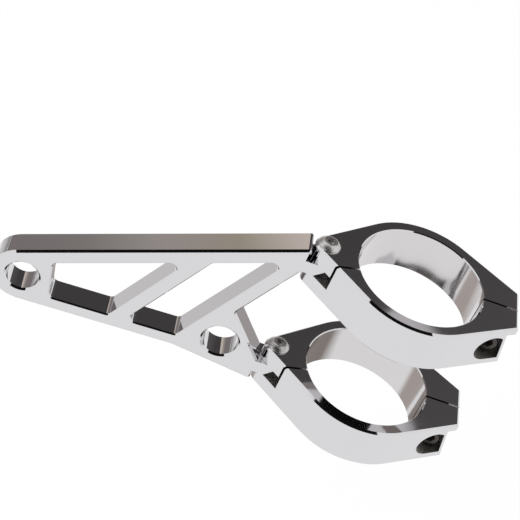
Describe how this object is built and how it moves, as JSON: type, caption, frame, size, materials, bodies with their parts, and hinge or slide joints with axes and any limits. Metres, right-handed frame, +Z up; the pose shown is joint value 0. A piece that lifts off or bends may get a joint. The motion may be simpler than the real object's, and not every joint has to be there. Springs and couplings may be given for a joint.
{
  "type": "headlight mounting bracket",
  "caption": "Mirror-polished headlight bracket: a flat truss arm with bolt holes, hinged to split clamps that swing open and close round a motorcycle fork leg.",
  "frame": {"origin": "on the fork leg's axis, at mid height of the upper clamp", "axes": "+Z up, square to the arm's level top edge; +X from the headlight hole to the fork leg; +Y through the arm from its front face to its rear face"},
  "size_m": [0.215, 0.0648, 0.1102],
  "materials": {
    "arm": "mirror-polished",
    "clamp_rear": "mirror-polished",
    "clamp_front": "mirror-polished",
    "pivot_screw": "bright plated",
    "clamp_bolt": "black oxide"
  },
  "bodies": {
    "upper_rear": {"upper_clamp_rear": "clamp_rear"},
    "upper_front": {"upper_clamp_front": "clamp_front", "upper_pivot_screw": "pivot_screw", "upper_clamp_bolt": "clamp_bolt"},
    "arm": {"arm": "arm"},
    "lower_rear": {"lower_clamp_rear": "clamp_rear"},
    "lower_front": {"lower_clamp_front": "clamp_front", "lower_pivot_screw": "pivot_screw", "lower_clamp_bolt": "clamp_bolt"}
  },
  "joints": [
    {"name": "upper_open", "type": "hinge", "parent": "upper_rear", "child": "upper_front", "pos_m": [-0.03625, 0, 0.0169], "axis": [-0.4226, 0, -0.9063], "range_deg": [0, 49]},
    {"name": "arm_swivel", "type": "hinge", "parent": "upper_rear", "child": "arm", "pos_m": [-0.03625, 0, 0.0169], "axis": [-0.4226, 0, -0.9063], "range_deg": [-2, 40]},
    {"name": "lower_swivel", "type": "hinge", "parent": "arm", "child": "lower_rear", "pos_m": [-0.06161, 0, -0.03747], "axis": [0.4226, 0, 0.9063], "range_deg": [-2, 40]},
    {"name": "lower_open", "type": "hinge", "parent": "lower_rear", "child": "lower_front", "pos_m": [-0.06161, 0, -0.03747], "axis": [-0.4226, 0, -0.9063], "range_deg": [0, 49]}
  ]
}
